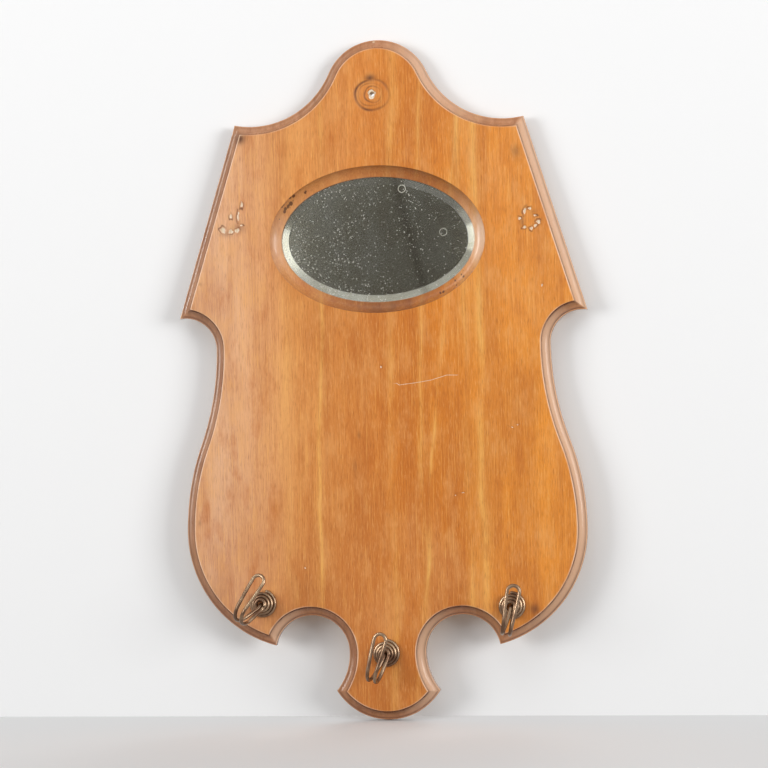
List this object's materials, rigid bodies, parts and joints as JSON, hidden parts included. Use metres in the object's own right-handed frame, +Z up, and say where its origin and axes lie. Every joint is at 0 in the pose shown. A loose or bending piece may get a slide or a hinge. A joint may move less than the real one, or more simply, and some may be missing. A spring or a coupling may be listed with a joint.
{
  "type": "mirror with hooks",
  "caption": "Wall plaque of stained wood with a scrolled, moulded outline, a small bevelled oval mirror and twisted wire hooks along its lower edge.",
  "frame": {"origin": "centre of the hanging hole on the plane of the wall, the board's back", "axes": "+Z up, -Y out of the wall towards the room, +X to the right as one faces the mirror; metres"},
  "size_m": [0.454, 0.076, 0.75],
  "materials": {
    "stained_wood": "worn satin varnish",
    "stained_wood_left": "worn satin varnish",
    "bevelled_glass": "polished",
    "old_silvering": "foxed",
    "backing_wood": "raw",
    "iron": "dull, oxidised",
    "coppered_wire": "worn bronze-brown plating"
  },
  "bodies": {
    "root": {"plank_left": "stained_wood_left", "plank_right": "stained_wood", "mirror_glass": "bevelled_glass", "mirror_silvering": "old_silvering", "backing_panel": "backing_wood", "backing_brads": "iron", "hook_left": "coppered_wire", "hook_middle": "coppered_wire", "hook_right": "coppered_wire"}
  },
  "joints": []
}
